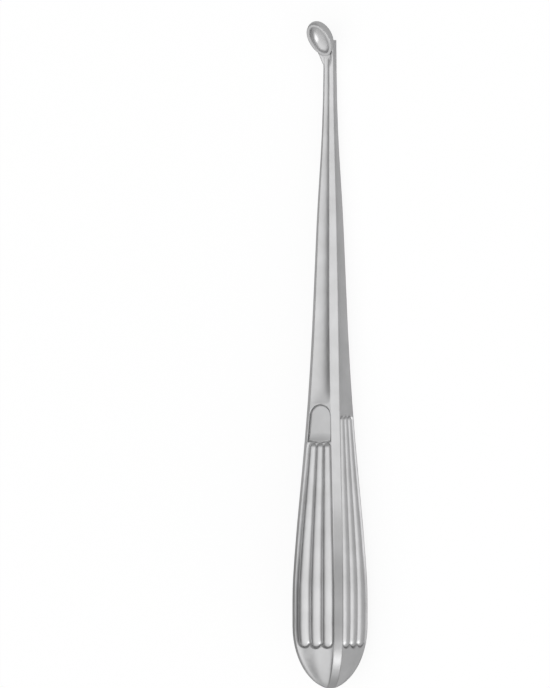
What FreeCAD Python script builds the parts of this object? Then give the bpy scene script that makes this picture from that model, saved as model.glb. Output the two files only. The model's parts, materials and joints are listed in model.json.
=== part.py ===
import FreeCAD, Part
import math
import os
from FreeCAD import Placement, Rotation, Vector

# Bone curette: one solid piece of stainless steel, in millimetres and degrees.
# It is built in its own straight frame, where Y runs from the butt of the handle (0) to the cup,
# Z is the side of the thumb rest and of the cup's mouth, and X is the right-hand side.
# The finished piece is then tipped a little, so that it lies on its back on the plane Z = 0.

# Driving dimensions. A ring is a place along the axis where the four-sided section is given by
# half its width across the flats and by the leg of the chamfer on its corners. Each ring's span is
# its distance from the ring before it. Four faces carry reeds, which stand in a channel: the rise of
# their crests above the face, the depth of the cusps between them and the channel's depth below the
# face are those at the widest place, and they shrink with the reeds' pitch towards the cup. From the
# thumb rest to the neck's end each face is hollow, with a depth that is given at the root ring and
# shrinks with the face's width. On the domed butt a groove follows both edges of each corner strip,
# the panels between them are crowned, and the strips keep their width until half the section is near
# a share of the belly's.
SIZES = {
    "dome_length": 21.7,
    "dome_groove_depth": 0.38,
    "dome_groove_width": 1.3,
    "dome_crown_rise": 0.3,
    "dome_strip_share": 0.3,
    "butt_flat_half": 0.7,
    "belly_half": 10.2,
    "belly_chamfer": 2.1,
    "belly_span": 9.0,
    "palm_half": 9.8,
    "palm_chamfer": 2.15,
    "palm_span": 13.3,
    "grip_half": 9.0,
    "grip_chamfer": 2.2,
    "grip_span": 14.0,
    "finger_half": 8.05,
    "finger_chamfer": 2.2,
    "finger_span": 14.0,
    "thumb_half": 6.45,
    "thumb_chamfer": 2.2,
    "thumb_span": 26.0,
    "root_half": 5.08,
    "root_chamfer": 2.1,
    "root_span": 32.0,
    "shank_half": 3.78,
    "shank_chamfer": 1.6,
    "shank_span": 35.0,
    "neck_half": 1.99,
    "neck_chamfer": 0.9,
    "neck_span": 48.0,
    "post_half": 1.9,
    "post_chamfer": 0.85,
    "post_span": 10.4,
    "reed_count": 3,
    "reed_rise": 0.5,
    "reed_cusp_depth": 1.53,
    "reed_channel_depth": 1.1,
    "reed_land": 0.2,
    "reed_flank": 0.75,
    "reed_gutter": 0.1,
    "reed_foot_inset": 4.9,
    "side_reed_lead": 9.4,
    "thumb_rest_length": 13.4,
    "thumb_rest_depth": 0.75,
    "thumb_rest_scoop": 3.4,
    "thumb_rest_foot_depth": 0.05,
    "thumb_rest_arch": 3.6,
    "thumb_rest_foot_arch": 0.5,
    "thumb_rest_overlap": 0.6,
    "thumb_groove_width": 0.5,
    "thumb_groove_depth": 0.3,
    "hollow_depth": 0.52,
    "hollow_land": 0.05,
    "hollow_fade": 5.0,
    "cup_lean": 40.0,
    "cup_rim_ahead": 7.25,
    "cup_rim_above_post": -0.3,
    "cup_half_length": 6.85,
    "cup_half_width": 4.35,
    "cup_half_depth": 4.3,
    "cup_rim_lift": 1.0,
    "bowl_half_length": 5.6,
    "bowl_half_width": 3.2,
    "bowl_half_depth": 4.3,
    "gusset_below_post": 9.4,
    "gusset_length": 5.5,
    "gusset_half_width": 2.9,
    "gusset_ahead": 3.6,
    "gusset_web_half_width": 1.7,
    "gusset_web_ahead": 2.2,
    "gusset_sink": 0.05,
}

RINGS = ("palm", "grip", "finger", "thumb", "root", "shank", "neck")
ALONG = Vector(0, 1, 0)
UP = Vector(0, 0, 1)
CLEAR_ABOVE = 1.0
RIM_CLEAR = 0.04
REED_SECTIONS = 12
DOME_SECTIONS = 12
HOLLOW_SECTIONS = 14


def make_sheet(doc):
    sheet = doc.addObject("Spreadsheet::Sheet", "sizes")
    for row, (alias, value) in enumerate(SIZES.items(), start=1):
        sheet.set(f"A{row}", alias.replace("_", " "))
        sheet.set(f"B{row}", str(value))
        sheet.setAlias(f"B{row}", alias)
    doc.recompute()
    return sheet


class Section:
    """The handle's four-sided section with chamfered corners, as a function of the place along Y."""

    def __init__(self, sheet):
        self.sheet = sheet
        self.belly_start = sheet.dome_length
        self.belly_end = self.belly_start + sheet.belly_span
        self.flat_share = sheet.butt_flat_half / sheet.belly_half
        self.dome_reach = sheet.dome_length / math.sqrt(1 - self.flat_share ** 2)
        self.ring_at = {}
        place = self.belly_end
        for ring in RINGS:
            place += sheet.get(ring + "_span")
            self.ring_at[ring] = place
        self.post_top = place + sheet.post_span
        self.flat_curve = self.curve(self.flat_reach)
        self.corner_curve = self.curve(self.corner_reach)

    def flat_reach(self, ring):
        return self.sheet.get(ring + "_half")

    def corner_reach(self, ring):
        half = self.sheet.get(ring + "_half")
        return (2 * half - self.sheet.get(ring + "_chamfer")) / math.sqrt(2)

    def curve(self, reach):
        points = [Vector(self.belly_end, reach("belly"), 0)]
        points += [Vector(self.ring_at[ring], reach(ring), 0) for ring in RINGS]
        neck_slope = Vector(self.sheet.post_span, reach("post") - reach("neck"), 0)
        neck_slope.normalize()
        curve = Part.BSplineCurve()
        curve.interpolate(Points=points, InitialTangent=Vector(1, 0, 0), FinalTangent=neck_slope)
        return curve

    def outline(self, curve, reach):
        """Closed outline in the XY plane, from the belly to the post, along X and symmetrical about it."""
        belly_start = Vector(self.belly_start, reach("belly"), 0)
        belly_end = Vector(self.belly_end, reach("belly"), 0)
        neck = Vector(self.ring_at["neck"], reach("neck"), 0)
        post = Vector(self.post_top, reach("post"), 0)
        half = [Part.makeLine(belly_start, belly_end), curve.toShape(), Part.makeLine(neck, post)]
        other_half = [edge.mirror(Vector(0, 0, 0), ALONG) for edge in half]
        ends = [Part.makeLine(end, Vector(end.x, -end.y, 0)) for end in (belly_start, post)]
        return Part.Wire(Part.__sortEdges__(half + other_half + ends))

    def reach_at(self, curve, reach, place):
        belly = reach("belly")
        if place >= self.ring_at["neck"]:
            share = (place - self.ring_at["neck"]) / self.sheet.post_span
            return reach("neck") + share * (reach("post") - reach("neck"))
        if place >= self.belly_end:
            cut = Part.Line(Vector(place, 0, 0), Vector(place, 1, 0))
            return cut.intersect(curve)[0].Y
        if place >= self.belly_start:
            return belly
        return belly * math.sqrt(1 - ((self.belly_start - place) / self.dome_reach) ** 2)

    def half_at(self, place):
        return self.reach_at(self.flat_curve, self.flat_reach, place)

    def face_half_at(self, place):
        """Half the width of one flat face, between its chamfers."""
        corner = self.reach_at(self.corner_curve, self.corner_reach, place)
        return corner * math.sqrt(2) - self.half_at(place)


def dome_wire(sheet, section, angle):
    """The dome's section where its outline has turned by this angle from the pole."""
    share = math.sin(angle)
    place = section.belly_start - section.dome_reach * math.cos(angle)
    half = sheet.belly_half * share
    narrowing = sheet.dome_strip_share ** 3
    chamfer = sheet.belly_chamfer * share * ((1 + narrowing) / (share ** 3 + narrowing)) ** (1 / 3)
    edge = half - chamfer
    dip = edge * sheet.dome_groove_width / (sheet.belly_half - sheet.belly_chamfer)
    # A curve of seven poles sinks half as far as its second and third ones are pulled down. A middle
    # pole that is raised by 2.1 times the pull brings the crown back to the face, and the crown rises
    # by 0.3125 of what the pole is raised further.
    fade = math.sin(2 * angle)
    pull = 2 * sheet.dome_groove_depth * fade
    lift = 2.1 * pull + sheet.dome_crown_rise * fade / 0.3125
    beside = edge - dip
    poles = [(-edge, half), (-beside, half - pull), (-beside / 2, half - pull), (0, half + lift)]
    poles += [(-x, z) for x, z in reversed(poles[:3])]
    panel = Part.BezierCurve()
    panel.setPoles([Vector(x, place, z) for x, z in poles])
    side = [panel.toShape(), Part.makeLine(Vector(edge, place, half), Vector(half, place, edge))]
    edges = []
    for turn in range(4):
        edges += [edge.rotated(Vector(), ALONG, 90 * turn) for edge in side]
    return Part.Wire(edges)


def make_dome(doc, sheet, section):
    """The rounded butt: crowned panels between corner strips that meet at the pole."""
    first = math.asin(section.flat_share)
    step = (math.pi / 2 - first) / (DOME_SECTIONS - 1)
    wires = [dome_wire(sheet, section, first + index * step) for index in range(DOME_SECTIONS)]
    dome = doc.addObject("Part::Feature", "dome")
    dome.Shape = Part.makeLoft(wires, True, False)
    return dome


def make_bar(doc, sheet, section):
    """Four slabs cut to the side outlines and the corner outlines; the bar is what they share."""
    slabs = []
    views = (
        ("side_slab", section.flat_curve, section.flat_reach, 0),
        ("front_slab", section.flat_curve, section.flat_reach, 90),
        ("right_corner_slab", section.corner_curve, section.corner_reach, 45),
        ("left_corner_slab", section.corner_curve, section.corner_reach, 135),
    )
    for name, curve, reach, turn in views:
        outline = doc.addObject("Part::Feature", name + "_outline")
        outline.Shape = Part.Face(section.outline(curve, reach))
        outline.Placement = Placement(Vector(), Rotation(ALONG, turn) * Rotation(Vector(1, 1, 1), 120))
        slab = doc.addObject("Part::Extrusion", name)
        slab.Base = outline
        slab.DirMode = "Custom"
        slab.Dir = Rotation(ALONG, turn).multVec(Vector(1, 0, 0))
        slab.Solid = True
        slab.setExpression("LengthFwd", "2 * sizes.belly_half")
        slab.setExpression("LengthRev", "2 * sizes.belly_half")
        slabs.append(slab)
    bar = doc.addObject("Part::MultiCommon", "bar")
    bar.Shapes = slabs
    return bar


class ReedField:
    """The reeds of one face at one place along the axis."""

    def __init__(self, sheet, section, place):
        self.place = place
        self.count = int(sheet.reed_count)
        self.face = section.half_at(place)
        margin = sheet.reed_land + sheet.reed_flank
        self.pitch = 2 * (section.face_half_at(place) - margin) / self.count
        widest_pitch = 2 * (section.face_half_at(section.belly_start) - margin) / self.count
        taper = self.pitch / widest_pitch
        cusp_depth = sheet.reed_cusp_depth * taper
        self.floor = self.face - sheet.reed_channel_depth * taper
        self.radius = (self.pitch ** 2 / 4 + cusp_depth ** 2) / (2 * cusp_depth)
        self.crest = self.face + sheet.reed_rise * taper
        self.cusp = self.crest - cusp_depth
        self.axis_height = self.crest - self.radius
        self.gutter = sheet.reed_gutter
        self.flank = sheet.reed_flank - sheet.reed_gutter

    def centres(self):
        middle = (self.count - 1) / 2
        return [(index - middle) * self.pitch for index in range(self.count)]

    def floor_half(self):
        return self.count * self.pitch / 2 + self.gutter

    def spread(self):
        """How much further out each flank of the channel is above the face than at the floor."""
        return self.flank * (self.face + CLEAR_ABOVE - self.floor) / (self.face - self.floor)

    def channel_wire(self):
        floor_half = self.floor_half()
        top_half = floor_half + self.spread()
        top = self.face + CLEAR_ABOVE
        corners = [
            Vector(-floor_half, self.place, self.floor),
            Vector(floor_half, self.place, self.floor),
            Vector(top_half, self.place, top),
            Vector(-top_half, self.place, top),
        ]
        return Part.makePolygon(corners + corners[:1])

    def reed_wire(self):
        centres = self.centres()
        ends = [Vector(centres[0] - self.radius, self.place, self.axis_height)]
        ends += [Vector(x + self.pitch / 2, self.place, self.cusp) for x in centres[:-1]]
        ends += [Vector(centres[-1] + self.radius, self.place, self.axis_height)]
        edges = []
        for x, start, end in zip(centres, ends, ends[1:]):
            crest = Vector(x, self.place, self.crest)
            edges.append(Part.Arc(start, crest, end).toShape())
        edges.append(Part.makeLine(ends[-1], ends[0]))
        return Part.Wire(edges)

    def channel_ends(self, towards_cup):
        half_turn = 0 if towards_cup else 180
        foot = self.pitch / 2 + self.gutter
        height = self.face + CLEAR_ABOVE - self.floor
        ends = []
        for x in self.centres():
            cone = Part.makeCone(foot, foot + self.spread(), height, Vector(), UP, 180)
            cone.Placement = Placement(Vector(x, self.place, self.floor), Rotation(UP, half_turn))
            ends.append(cone)
        return ends

    def reed_ends(self, towards_cup):
        direction = ALONG if towards_cup else -ALONG
        ends = []
        for x in self.centres():
            centre = Vector(x, self.place, self.axis_height)
            ends.append(Part.makeSphere(self.radius, centre, direction, 0, 90, 360))
        return ends


def reed_fields(sheet, section, start, end):
    step = (end - start) / (REED_SECTIONS - 1)
    return [ReedField(sheet, section, start + index * step) for index in range(REED_SECTIONS)]


def make_reeds(doc, sheet, section, name, end, turn):
    """The channel of one face, with round ends, and the round-topped reeds that stand in it."""
    start = section.belly_start - sheet.reed_foot_inset
    fields = reed_fields(sheet, section, start, end)
    turned = Placement(Vector(), Rotation(ALONG, turn))

    channel = doc.addObject("Part::Feature", name + "_channel")
    run = Part.makeLoft([field.channel_wire() for field in fields], True, False)
    channel.Shape = run.fuse(fields[0].channel_ends(False) + fields[-1].channel_ends(True))
    channel.Placement = turned

    reeds = doc.addObject("Part::Feature", name + "_reeds")
    run = Part.makeLoft([field.reed_wire() for field in fields], True, False)
    reeds.Shape = run.fuse(fields[0].reed_ends(False) + fields[-1].reed_ends(True))
    reeds.Placement = turned
    return channel, reeds


def hollow_wire(sheet, section, place, share):
    """An arc between a face's edges, which dips below the face by this share of its full depth."""
    half_width = section.face_half_at(place) - sheet.hollow_land
    root_half_width = sheet.root_half - sheet.root_chamfer - sheet.hollow_land
    depth = sheet.hollow_depth * half_width / root_half_width
    rim = section.half_at(place) + RIM_CLEAR
    dip = share * (depth + RIM_CLEAR / 2) + RIM_CLEAR / 2
    top = rim + CLEAR_ABOVE
    corners = [Vector(x, place, z) for x, z in ((half_width, rim), (half_width, top))]
    corners += [Vector(-corner.x, place, corner.z) for corner in reversed(corners)]
    arc = Part.Arc(corners[-1], Vector(0, place, rim - dip), corners[0]).toShape()
    return Part.Wire(Part.makePolygon(corners).Edges + [arc])


def make_shank_hollow(doc, sheet, section, name, turn):
    """The hollow of one face, from a gentle start above the thumb rest to the end of the post."""
    start = section.ring_at["thumb"]
    step = (section.post_top + CLEAR_ABOVE - start) / (HOLLOW_SECTIONS - 1)
    places = [start + index * step for index in range(HOLLOW_SECTIONS)]
    places.insert(1, start + sheet.hollow_fade / 2)
    wires = []
    for place in places:
        share = min(1, (place - start) / sheet.hollow_fade)
        wires.append(hollow_wire(sheet, section, place, share))
    hollow = doc.addObject("Part::Feature", name + "_hollow")
    hollow.Shape = Part.makeLoft(wires, True, False)
    hollow.Placement = Placement(Vector(), Rotation(ALONG, turn))
    return hollow


def arched_prism(sheet, section, inset, foot):
    """Everything above the axis inside the thumb rest's outline, or inside a line at this inset from it."""
    top = section.ring_at["thumb"] - inset
    arch = top - sheet.thumb_rest_arch
    foot_arch = foot + sheet.thumb_rest_foot_arch
    foot_half = section.face_half_at(foot_arch) - sheet.reed_land - inset
    arch_half = section.face_half_at(arch) - sheet.reed_land - inset
    left = Part.makeLine(Vector(-arch_half, arch, 0), Vector(-foot_half, foot_arch, 0))
    right = Part.makeLine(Vector(foot_half, foot_arch, 0), Vector(arch_half, arch, 0))
    lower = Part.Arc(Vector(-foot_half, foot_arch, 0), Vector(0, foot, 0), Vector(foot_half, foot_arch, 0))
    upper = Part.Arc(Vector(arch_half, arch, 0), Vector(0, top, 0), Vector(-arch_half, arch, 0))
    outline = Part.Wire([left, lower.toShape(), right, upper.toShape()])
    return Part.Face(outline).extrude(UP * 2 * sheet.belly_half)


def thumb_rest_block(sheet, section, foot, extra_depth):
    """Everything above the thumb rest's floor, which curves up to the face near the foot."""
    clear = 2 * sheet.belly_half
    depth = sheet.thumb_rest_depth + extra_depth
    top = section.ring_at["thumb"]
    scoop = foot + sheet.thumb_rest_scoop
    floor_top = Vector(0, top, section.half_at(top) - depth)
    floor_scoop = Vector(0, scoop, section.half_at(scoop) - depth)
    floor_foot = Vector(0, foot, section.half_at(foot) - depth)
    floor_end = Vector(0, foot, section.half_at(foot) - sheet.thumb_rest_foot_depth - extra_depth)
    scooped = Part.BezierCurve()
    middle = (floor_scoop + floor_foot) / 2
    scooped.setPoles([floor_scoop, middle, floor_end])
    above_foot = Vector(0, foot, clear)
    above_top = Vector(0, top, clear)
    edges = Part.makePolygon([floor_end, above_foot, above_top, floor_top, floor_scoop]).Edges
    block = Part.Face(Part.Wire(edges + [scooped.toShape()])).extrude(Vector(2 * clear, 0, 0))
    block.translate(Vector(-clear, 0, 0))
    return block


def make_thumb_rest(doc, sheet, section):
    """The sunken thumb rest, with a narrow deeper groove inside its arched outline."""
    foot = section.ring_at["thumb"] - sheet.thumb_rest_length
    outside = arched_prism(sheet, section, 0, foot)
    inside = arched_prism(sheet, section, sheet.thumb_groove_width, foot + sheet.thumb_groove_width)
    floor = thumb_rest_block(sheet, section, foot, 0)
    groove_floor = thumb_rest_block(sheet, section, foot, sheet.thumb_groove_depth)
    rest = doc.addObject("Part::Feature", "thumb_rest_hollow")
    rest.Shape = outside.common(floor).fuse(outside.common(groove_floor).cut(inside))
    return rest


def make_gusset(doc, sheet, section):
    """The flared web under the cup, from inside the neck's faces to inside the cup's wall."""
    start = section.post_top - sheet.gusset_below_post
    end = start + sheet.gusset_length
    neck_half = section.half_at(start) - sheet.gusset_sink
    neck_face_half = section.face_half_at(start)
    core_half = neck_face_half / 2
    core_ahead = neck_half - sheet.hollow_depth
    post_face_half = section.face_half_at(end)

    def outline(place, back, wing, web):
        """Six corners: two at the back, a wing on either side and the two edges of the web."""
        right = [Vector(x, place, z) for x, z in (back, wing, web)]
        left = [Vector(-point.x, point.y, point.z) for point in reversed(right)]
        return Part.makePolygon(right + left + right[:1])

    lower = outline(start, (core_half, 0), (neck_face_half, neck_half), (core_half, core_ahead))
    wing = (sheet.gusset_half_width, sheet.gusset_ahead)
    web = (sheet.gusset_web_half_width, sheet.gusset_web_ahead)
    upper = outline(end, (post_face_half, 0), wing, web)
    gusset = doc.addObject("Part::Feature", "gusset")
    gusset.Shape = Part.makeLoft([lower, upper], True, True)
    return gusset


def make_ellipsoid(doc, name, lift):
    """An ellipsoid that leans with the cup, with its centre this far under the rim's plane."""
    ellipsoid = doc.addObject("Part::Ellipsoid", name)
    ellipsoid.Placement = Placement(Vector(), Rotation(Vector(1, 0, 0), 1))
    ellipsoid.setExpression("Placement.Rotation.Angle", "sizes.cup_lean * 1 deg")
    spans = " + ".join(f"sizes.{ring}_span" for ring in ("belly",) + RINGS + ("post",))
    rim_place = f"sizes.dome_length + {spans} + sizes.cup_rim_above_post"
    lean = "sizes.cup_lean * 1 deg"
    ellipsoid.setExpression("Placement.Base.y", f"({rim_place} + {lift} * sin({lean})) * 1 mm")
    ellipsoid.setExpression("Placement.Base.z", f"(sizes.cup_rim_ahead - {lift} * cos({lean})) * 1 mm")
    return ellipsoid


def make_cup(doc):
    """The cup before it is hollowed, cut off at the plane of the rim."""
    cup = make_ellipsoid(doc, "cup", "sizes.cup_rim_lift")
    cup.setExpression("Radius1", "sizes.cup_half_depth * 1 mm")
    cup.setExpression("Radius2", "sizes.cup_half_width * 1 mm")
    cup.setExpression("Radius3", "sizes.cup_half_length * 1 mm")
    cup.setExpression("Angle2", "asin(sizes.cup_rim_lift / sizes.cup_half_depth)")
    return cup


def make_bowl(doc):
    """The bowl inside the cup, centred on the plane of the rim."""
    bowl = make_ellipsoid(doc, "bowl_hollow", "0")
    bowl.setExpression("Radius1", "sizes.bowl_half_depth * 1 mm")
    bowl.setExpression("Radius2", "sizes.bowl_half_width * 1 mm")
    bowl.setExpression("Radius3", "sizes.bowl_half_length * 1 mm")
    return bowl


def resting_placement(sheet, section, shape, front_end):
    """Tip the tool about X, so that its back touches the floor at the belly and at the post."""
    post = sheet.post_half
    steepest = 0
    start = section.belly_start - sheet.reed_foot_inset
    for field in reed_fields(sheet, section, start, front_end):
        steepest = max(steepest, (field.crest - post) / (section.post_top - field.place))
    tipped = Rotation(Vector(1, 0, 0), -math.degrees(math.atan(steepest)))
    resting = shape.copy()
    resting.Placement = Placement(Vector(), tipped)
    box = resting.optimalBoundingBox()
    return Placement(Vector(-box.Center.x, -box.Center.y, -box.ZMin), tipped)


def main():
    doc = FreeCAD.newDocument("curette")
    sheet = make_sheet(doc)
    section = Section(sheet)
    bar = make_bar(doc, sheet, section)
    dome = make_dome(doc, sheet, section)
    blank = doc.addObject("Part::MultiFuse", "blank")
    blank.Shapes = [bar, dome]

    thumb_foot = section.ring_at["thumb"] - sheet.thumb_rest_length
    beside = ReedField(sheet, section, thumb_foot)
    front_end = thumb_foot - beside.pitch / 2 - sheet.reed_flank + sheet.thumb_rest_overlap
    side_end = front_end + sheet.side_reed_lead
    faces = (
        ("front", front_end, 0),
        ("right", side_end, 90),
        ("back", side_end, 180),
        ("left", side_end, 270),
    )
    channels = []
    reeds = []
    for name, end, turn in faces:
        channel, reed_run = make_reeds(doc, sheet, section, name, end, turn)
        channels += [channel, make_shank_hollow(doc, sheet, section, name, turn)]
        reeds.append(reed_run)

    hollows = doc.addObject("Part::MultiFuse", "hollows")
    hollows.Shapes = channels + [make_thumb_rest(doc, sheet, section)]
    hollowed = doc.addObject("Part::Cut", "hollowed_blank")
    hollowed.Base = blank
    hollowed.Tool = hollows

    gusset = make_gusset(doc, sheet, section)
    body = doc.addObject("Part::MultiFuse", "forging")
    body.Shapes = [hollowed] + reeds + [gusset, make_cup(doc)]
    tool = doc.addObject("Part::Cut", "tool")
    tool.Base = body
    tool.Tool = make_bowl(doc)
    doc.recompute()

    curette = doc.addObject("Part::Feature", "curette")
    curette.Label = "curette"
    curette.Shape = tool.Shape
    curette.Placement = resting_placement(sheet, section, tool.Shape, front_end)
    doc.recompute()

    for item in doc.Objects:
        if "Invalid" in item.State or "Error" in item.State:
            raise RuntimeError(f"{item.Name} failed: {item.State}")
    if curette.Shape.isNull() or not curette.Shape.isValid() or len(curette.Shape.Solids) != 1:
        raise RuntimeError("the curette is not one valid solid")
    os.makedirs("parts", exist_ok=True)
    curette.Shape.exportStep("parts/" + curette.Label + ".step")
    box = curette.Shape.optimalBoundingBox()
    print("size", box.XLength, box.YLength, box.ZLength)
    print("volume", curette.Shape.Volume, "faces", len(curette.Shape.Faces))
    print("tilt", math.degrees(curette.Placement.Rotation.Angle))


main()
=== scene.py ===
import json
import math

import bpy
from mathutils import Matrix, Vector

MM = 0.001

# The picture: 550 by 688 pixels, with the tool upright and a little right of the middle.
IMAGE_WIDTH = 550
IMAGE_HEIGHT = 688
PIXEL = 0.3446 * MM
AXIS_COLUMN = 330.0
BUTT_ROW = 688.5
GRIP_FROM_BUTT = 26 * MM
FRONT_TURNED_LEFT = math.radians(32)
LENS_MM = 400
SENSOR_MM = 36
CLIP_START = 0.05
CLIP_END = 50

# The finish: neutral satin steel, ground along the tool. Sizes are in metres.
STEEL_LIGHT = (0.70, 0.70, 0.705)
STEEL_DARK = (0.62, 0.62, 0.622)
ROUGHNESS_LOW = 0.30
ROUGHNESS_HIGH = 0.42
NOISE_RANGE = (0.3, 0.7)
CLOUD_SIZE = 9 * MM
CLOUD_DETAIL = 4
GRAIN_WIDTH = 0.16 * MM
GRAIN_DETAIL = 3
GRAIN_STRETCH = 40
GRAIN_HEIGHT = 0.006 * MM
EDGE_RADIUS = 0.5 * MM
# Painted shade: the colour is darkened in crevices that ambient occlusion finds closed.
CREVICE_REACH = 0.8 * MM
CREVICE_OPENNESS = (0.3, 0.9)
CREVICE_PAINTED_SHADE = 0.55

# The corner strips get painted shade, a darker colour, beside the widest part of the handle, and a little
# on the dome, where it also dims their highlight. Places along the tool are counted from the grip,
# towards the cup.
STRIP_SHARE = (0.765, 0.795)
STRIP_ON_DOME = (2.2 * MM, 2.5 * MM)
DOME_FADE = (-15.5 * MM, -12 * MM)
DOME_STRIP_SHARE = 0.55
STRIP_SHADE_TO = (16 * MM, 46 * MM)
STRIP_PAINTED_SHADE = 0.55

# The bowl inside the cup gets painted shade, a darker colour. It is also smoother, and its normals lean
# towards its mouth.
BOWL_CENTRE = (0, 108.29 * MM, 9.15 * MM)
BOWL_LEAN = math.radians(37.3)
BOWL_RADII = (3.2 * MM, 5.6 * MM, 4.3 * MM)
BOWL_EDGE = (1.03, 1.1)
BOWL_PAINTED_SHADE = 0.84
BOWL_FLATTENING = 1.1
BOWL_SMOOTHING = 0.8

# The studio.
FLOOR_SIZE = 6.0
FLOOR_DROP = 0.02 * MM
FLOOR_COLOUR = (0.5, 0.5, 0.5)
FLOOR_GLOW = 1.25
FLOOR_GLOW_SEEN = 0.7
FLOOR_GLOW_REFLECTED = 0.15
STUDIO_STRENGTH = 1.5
STUDIO_ACROSS = (
    (-1.0, 0.04), (-0.82, 0.14), (-0.6, 0.85), (-0.2, 0.88),
    (0.4, 1.0), (0.8, 1.0), (1.0, 0.8),
)
STUDIO_ALONG = ((-1.0, 0.72), (-0.35, 1.0), (0.25, 1.0), (0.5, 0.45), (1.0, 0.25))
KEY_PLACE = (1.05, -0.9, 0.4)
KEY_TARGET = (0, 0.1, 0)
KEY_SIZE = (0.9, 0.6)
KEY_ENERGY = 2.3


def add_node(tree, kind, place, **inputs):
    """A node with some of its inputs set by name."""
    node = tree.nodes.new(kind)
    node.location = place
    for name, value in inputs.items():
        node.inputs[name.replace("_", " ")].default_value = value
    return node


def new_material(name):
    material = bpy.data.materials.new(name)
    material.use_nodes = True
    material.node_tree.nodes.clear()
    return material


def math_node(tree, operation, place, first, second):
    """A sum or a product of two outputs or numbers."""
    node = add_node(tree, "ShaderNodeMath", place)
    node.operation = operation
    for socket, value in zip(node.inputs, (first, second)):
        if isinstance(value, (int, float)):
            socket.default_value = value
        else:
            tree.links.new(value, socket)
    return node.outputs["Value"]


def map_values(tree, place, source, low, high, at_low, at_high):
    """A straight map of a value from one range to another."""
    node = add_node(tree, "ShaderNodeMapRange", place)
    for name, value in (("From Min", low), ("From Max", high), ("To Min", at_low), ("To Max", at_high)):
        node.inputs[name].default_value = value
    tree.links.new(source, node.inputs["Value"])
    return node.outputs["Result"]


def mix_colours(tree, place, share, first, second):
    """First where the share is 0 and second where it is 1."""
    node = add_node(tree, "ShaderNodeMix", place)
    node.data_type = "RGBA"
    tree.links.new(share, node.inputs["Factor"])
    colours = [socket for socket in node.inputs if socket.type == "RGBA"]
    for socket, colour in zip(colours, (first, second)):
        if isinstance(colour, tuple):
            socket.default_value = (*colour, 1)
        else:
            tree.links.new(colour, socket)
    return next(socket for socket in node.outputs if socket.type == "RGBA")


def shaded_strips(tree, coordinates, grip):
    """The share of painted shade: 1 on the corner strips of the widest part of the handle, less on the
    dome and 0 further on.
    """
    along = Vector(grip["axis"])
    tilt = math.atan2(along.z, along.y)
    turn = Matrix.Rotation(-tilt, 3, "X")
    straight = add_node(tree, "ShaderNodeMapping", (-1000, 1000))
    straight.inputs["Rotation"].default_value = (-tilt, 0, 0)
    straight.inputs["Location"].default_value = -(turn @ Vector(grip["pos_m"]))
    tree.links.new(coordinates, straight.inputs["Vector"])
    split = add_node(tree, "ShaderNodeSeparateXYZ", (-800, 1000))
    tree.links.new(straight.outputs["Vector"], split.inputs["Vector"])
    side = math_node(tree, "ABSOLUTE", (-600, 1100), split.outputs["X"], 0)
    height = math_node(tree, "ABSOLUTE", (-600, 900), split.outputs["Z"], 0)
    nearer = math_node(tree, "MINIMUM", (-400, 1100), side, height)
    further = math_node(tree, "MAXIMUM", (-400, 900), side, height)
    ratio = math_node(tree, "DIVIDE", (-200, 1000), nearer, further)
    handle_strip = map_values(tree, (0, 1000), ratio, *STRIP_SHARE, 0, 1)
    room = math_node(tree, "SUBTRACT", (-200, 1250), further, nearer)
    beside_edge = map_values(tree, (0, 1250), room, *STRIP_ON_DOME, 1, 0)
    on_dome = map_values(tree, (0, 1500), split.outputs["Y"], *DOME_FADE, DOME_STRIP_SHARE, 0)
    dome_strip = math_node(tree, "MULTIPLY", (200, 1350), beside_edge, on_dome)
    starts = map_values(tree, (0, 1750), split.outputs["Y"], *DOME_FADE, 0, 1)
    ends = map_values(tree, (0, 2000), split.outputs["Y"], *STRIP_SHADE_TO, 1, 0)
    on_handle = math_node(tree, "MULTIPLY", (200, 1850), starts, ends)
    belly_strip = math_node(tree, "MULTIPLY", (400, 1600), handle_strip, on_handle)
    return math_node(tree, "ADD", (600, 1450), belly_strip, dome_strip)


def inside_bowl(tree, coordinates):
    """1 on the inside of the cup and 0 on its outside."""
    local = add_node(tree, "ShaderNodeMapping", (-1000, 1800))
    local.vector_type = "TEXTURE"
    local.inputs["Location"].default_value = BOWL_CENTRE
    local.inputs["Rotation"].default_value = (BOWL_LEAN, 0, 0)
    local.inputs["Scale"].default_value = BOWL_RADII
    tree.links.new(coordinates, local.inputs["Vector"])
    length = add_node(tree, "ShaderNodeVectorMath", (-800, 1800))
    length.operation = "LENGTH"
    tree.links.new(local.outputs["Vector"], length.inputs[0])
    return map_values(tree, (-600, 1800), length.outputs["Value"], *BOWL_EDGE, 1, 0)


def flattened_in_bowl(tree, normal, share):
    """A normal that leans towards the mouth of the bowl where the share is 1, as on a shallower bowl."""
    mouth = (0, -math.sin(BOWL_LEAN), math.cos(BOWL_LEAN))
    facing = add_node(tree, "ShaderNodeVectorMath", (200, -600))
    facing.operation = "DOT_PRODUCT"
    facing.inputs[1].default_value = mouth
    tree.links.new(normal, facing.inputs[0])
    extra = math_node(tree, "MULTIPLY", (400, -600), facing.outputs["Value"], share)
    push = math_node(tree, "MULTIPLY", (600, -600), extra, BOWL_FLATTENING)
    pushed = add_node(tree, "ShaderNodeVectorMath", (800, -600))
    pushed.operation = "SCALE"
    pushed.inputs[0].default_value = mouth
    tree.links.new(push, pushed.inputs["Scale"])
    total = add_node(tree, "ShaderNodeVectorMath", (1000, -600))
    total.operation = "ADD"
    tree.links.new(normal, total.inputs[0])
    tree.links.new(pushed.outputs["Vector"], total.inputs[1])
    unit = add_node(tree, "ShaderNodeVectorMath", (1200, -600))
    unit.operation = "NORMALIZE"
    tree.links.new(total.outputs["Vector"], unit.inputs[0])
    return unit.outputs["Vector"]


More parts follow.
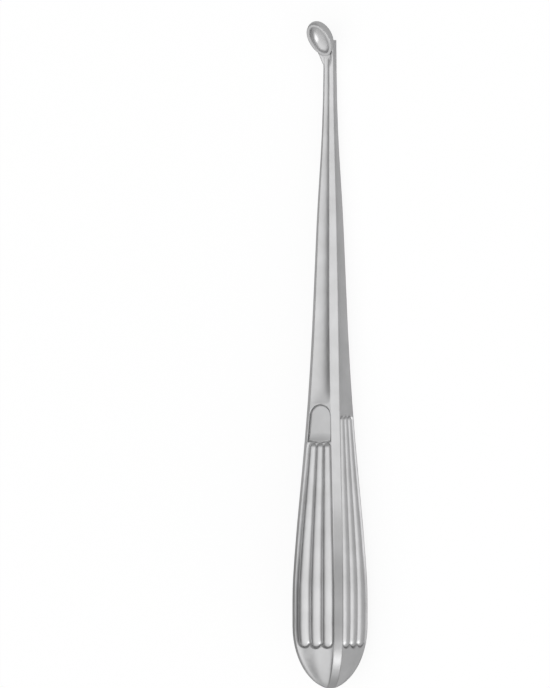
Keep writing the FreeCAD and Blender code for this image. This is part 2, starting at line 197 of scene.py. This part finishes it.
def darker(tree, place, colour, share, factor):
    """A colour that is multiplied by this factor where the share is 1."""
    strength = map_values(tree, (place[0] - 400, place[1]), share, 0, 1, 1, factor)
    grey = add_node(tree, "ShaderNodeCombineColor", (place[0] - 200, place[1]))
    for channel in grey.inputs:
        tree.links.new(strength, channel)
    product = add_node(tree, "ShaderNodeMix", place, Factor=1.0)
    product.data_type = "RGBA"
    product.blend_type = "MULTIPLY"
    sockets = [socket for socket in product.inputs if socket.type == "RGBA"]
    tree.links.new(colour, sockets[0])
    tree.links.new(grey.outputs["Color"], sockets[1])
    return next(socket for socket in product.outputs if socket.type == "RGBA")


def steel_material(grip):
    """Satin stainless steel: faint clouds, fine grinding lines along the tool, and painted shade in the
    crevices, on parts of the corner strips and in the bowl.
    """
    material = new_material("satin_steel")
    tree = material.node_tree
    link = tree.links.new
    output = add_node(tree, "ShaderNodeOutputMaterial", (1600, 0))
    shader = add_node(tree, "ShaderNodeBsdfPrincipled", (1300, 0), Metallic=1.0)
    place = add_node(tree, "ShaderNodeTexCoord", (-1200, 0))

    clouds = add_node(tree, "ShaderNodeTexNoise", (-800, 300), Scale=1 / CLOUD_SIZE, Detail=CLOUD_DETAIL)
    link(place.outputs["Object"], clouds.inputs["Vector"])
    stretch = add_node(tree, "ShaderNodeMapping", (-1000, -200))
    stretch.inputs["Scale"].default_value = (1, 1 / GRAIN_STRETCH, 1)
    link(place.outputs["Object"], stretch.inputs["Vector"])
    grain = add_node(tree, "ShaderNodeTexNoise", (-800, -200), Scale=1 / GRAIN_WIDTH, Detail=GRAIN_DETAIL)
    link(stretch.outputs["Vector"], grain.inputs["Vector"])

    cloud_share = map_values(tree, (-500, 400), clouds.outputs["Fac"], *NOISE_RANGE, 0, 1)
    metal = mix_colours(tree, (-200, 400), cloud_share, STEEL_DARK, STEEL_LIGHT)
    # Painted shade: a darker colour in the crevices, found by ambient occlusion.
    crevice = add_node(tree, "ShaderNodeAmbientOcclusion", (-500, 650), Distance=CREVICE_REACH)
    crevice_shade_share = map_values(tree, (-300, 650), crevice.outputs["AO"], *CREVICE_OPENNESS, 1, 0)
    metal = darker(tree, (400, 500), metal, crevice_shade_share, CREVICE_PAINTED_SHADE)
    # Painted shade on the corner strips, beside the widest part of the handle and on the dome.
    strip_shade_share = shaded_strips(tree, place.outputs["Object"], grip)
    metal = darker(tree, (800, 1100), metal, strip_shade_share, STRIP_PAINTED_SHADE)
    bowl_share = inside_bowl(tree, place.outputs["Object"])
    # Painted shade inside the bowl.
    metal = darker(tree, (1000, 1800), metal, bowl_share, BOWL_PAINTED_SHADE)
    link(metal, shader.inputs["Base Color"])

    grain_share = grain.outputs["Fac"]
    rough = map_values(tree, (-500, 100), grain_share, *NOISE_RANGE, ROUGHNESS_LOW, ROUGHNESS_HIGH)
    smoother = map_values(tree, (-200, -100), bowl_share, 0, 1, 1, BOWL_SMOOTHING)
    link(math_node(tree, "MULTIPLY", (0, 0), rough, smoother), shader.inputs["Roughness"])
    soft_edge = add_node(tree, "ShaderNodeBevel", (0, -300), Radius=EDGE_RADIUS)
    bump = add_node(tree, "ShaderNodeBump", (300, -200), Strength=1.0, Distance=GRAIN_HEIGHT)
    link(grain_share, bump.inputs["Height"])
    normal = flattened_in_bowl(tree, soft_edge.outputs["Normal"], bowl_share)
    link(normal, bump.inputs["Normal"])
    link(bump.outputs["Normal"], shader.inputs["Normal"])
    link(shader.outputs["BSDF"], output.inputs["Surface"])
    return material


def floor_material():
    """Pale paper that glows a little to the camera and keeps the tool's shadow."""
    material = new_material("pale_paper")
    tree = material.node_tree
    link = tree.links.new
    output = add_node(tree, "ShaderNodeOutputMaterial", (600, 0))
    diffuse = add_node(tree, "ShaderNodeBsdfDiffuse", (0, 100))
    diffuse.inputs["Color"].default_value = (*FLOOR_COLOUR, 1)
    glow = add_node(tree, "ShaderNodeEmission", (0, -100), Strength=FLOOR_GLOW)
    path = add_node(tree, "ShaderNodeLightPath", (-400, 300))
    to_camera = path.outputs["Is Camera Ray"]
    to_metal = path.outputs["Is Glossy Ray"]
    seen = math_node(tree, "MULTIPLY", (-200, 400), to_camera, FLOOR_GLOW_SEEN)
    reflected = math_node(tree, "MULTIPLY", (-200, 200), to_metal, FLOOR_GLOW_REFLECTED)
    share = math_node(tree, "ADD", (0, 300), seen, reflected)
    mix = add_node(tree, "ShaderNodeMixShader", (300, 0))
    link(share, mix.inputs["Fac"])
    link(diffuse.outputs["BSDF"], mix.inputs[1])
    link(glow.outputs["Emission"], mix.inputs[2])
    link(mix.outputs["Shader"], output.inputs["Surface"])
    return material


def make_floor():
    bpy.ops.mesh.primitive_plane_add(size=FLOOR_SIZE, location=(0, 0, -FLOOR_DROP))
    floor = bpy.context.object
    floor.name = "floor"
    floor.data.materials.append(floor_material())


def brightness_along(tree, place, axis, stops):
    """A smooth brightness over one axis of the direction, from stops of (-1 to 1, brightness)."""
    unit = math_node(tree, "MULTIPLY_ADD", place, axis, 0.5)
    unit.node.inputs[2].default_value = 0.5
    ramp = add_node(tree, "ShaderNodeValToRGB", (place[0] + 200, place[1]))
    ramp.color_ramp.interpolation = "B_SPLINE"
    elements = ramp.color_ramp.elements
    while len(elements) < len(stops):
        elements.new(0.5)
    for element, (where, brightness) in zip(elements, stops):
        element.position = (where + 1) / 2
    for element, (where, brightness) in zip(elements, stops):
        element.color = (brightness, brightness, brightness, 1)
    tree.links.new(unit, ramp.inputs["Fac"])
    return ramp.outputs["Color"]


def make_world():
    """White to the camera; for light and reflections a soft studio, brighter on the right."""
    world = bpy.data.worlds.new("studio")
    bpy.context.scene.world = world
    world.use_nodes = True
    tree = world.node_tree
    tree.nodes.clear()
    link = tree.links.new
    output = add_node(tree, "ShaderNodeOutputWorld", (800, 0))
    place = add_node(tree, "ShaderNodeTexCoord", (-800, 0))
    split = add_node(tree, "ShaderNodeSeparateXYZ", (-600, 0))
    link(place.outputs["Generated"], split.inputs["Vector"])
    across = brightness_along(tree, (-400, 200), split.outputs["X"], STUDIO_ACROSS)
    along = brightness_along(tree, (-400, -200), split.outputs["Y"], STUDIO_ALONG)
    shape = math_node(tree, "MULTIPLY", (100, 0), across, along)
    strength = math_node(tree, "MULTIPLY", (250, 0), shape, STUDIO_STRENGTH)
    studio = add_node(tree, "ShaderNodeBackground", (400, 100))
    white = add_node(tree, "ShaderNodeBackground", (400, -100), Strength=1.0)
    path = add_node(tree, "ShaderNodeLightPath", (400, 300))
    mix = add_node(tree, "ShaderNodeMixShader", (600, 0))
    link(strength, studio.inputs["Strength"])
    link(path.outputs["Is Camera Ray"], mix.inputs["Fac"])
    link(studio.outputs["Background"], mix.inputs[1])
    link(white.outputs["Background"], mix.inputs[2])
    link(mix.outputs["Shader"], output.inputs["Surface"])


def photo_axes(along):
    """The picture's right, up and towards the viewer, for a tool that points along this direction."""
    level = Vector((1, 0, 0))
    front = level.cross(along).normalized()
    back = math.sin(FRONT_TURNED_LEFT) * level + math.cos(FRONT_TURNED_LEFT) * front
    right = along.cross(back)
    return right, along, back


def make_camera(grip):
    """A long lens square to the tool's axis, with the tool as large as in the picture."""
    along = Vector(grip["axis"]).normalized()
    right, up, back = photo_axes(along)
    grip_row = BUTT_ROW - GRIP_FROM_BUTT / PIXEL
    grip_up = (IMAGE_HEIGHT / 2 - grip_row) * PIXEL
    grip_right = (AXIS_COLUMN - IMAGE_WIDTH / 2) * PIXEL
    target = Vector(grip["pos_m"]) - grip_up * up - grip_right * right
    data = bpy.data.cameras.new("camera")
    data.lens = LENS_MM
    data.sensor_width = SENSOR_MM
    data.clip_start = CLIP_START
    data.clip_end = CLIP_END
    camera = bpy.data.objects.new("camera", data)
    bpy.context.scene.collection.objects.link(camera)
    distance = IMAGE_HEIGHT * PIXEL * LENS_MM / SENSOR_MM
    turn = Matrix((right, up, back)).transposed().to_4x4()
    camera.matrix_world = Matrix.Translation(target + distance * back) @ turn
    bpy.context.scene.camera = camera


def area_light(name, place, target, size, energy):
    data = bpy.data.lights.new(name, "AREA")
    data.shape = "RECTANGLE"
    data.size, data.size_y = size
    data.energy = energy
    light = bpy.data.objects.new(name, data)
    light.location = place
    light.visible_camera = False
    light.rotation_mode = "QUATERNION"
    light.rotation_quaternion = (Vector(place) - Vector(target)).to_track_quat("Z", "Y")
    bpy.context.scene.collection.objects.link(light)


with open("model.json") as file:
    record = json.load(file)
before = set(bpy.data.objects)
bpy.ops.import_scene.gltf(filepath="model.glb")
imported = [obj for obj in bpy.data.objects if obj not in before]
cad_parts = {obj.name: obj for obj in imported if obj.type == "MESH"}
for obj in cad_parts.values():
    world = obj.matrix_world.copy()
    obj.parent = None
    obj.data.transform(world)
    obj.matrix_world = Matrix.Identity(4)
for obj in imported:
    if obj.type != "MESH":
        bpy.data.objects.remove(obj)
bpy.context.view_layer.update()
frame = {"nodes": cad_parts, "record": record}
grip = frame["record"]["mounts"][0]

bpy.context.scene.view_settings.view_transform = "Standard"
make_camera(grip)
make_world()
make_floor()
area_light("key", KEY_PLACE, KEY_TARGET, KEY_SIZE, KEY_ENERGY)

steel = steel_material(grip)
curette = frame["nodes"]["curette"]
curette.data.materials.clear()
curette.data.materials.append(steel)
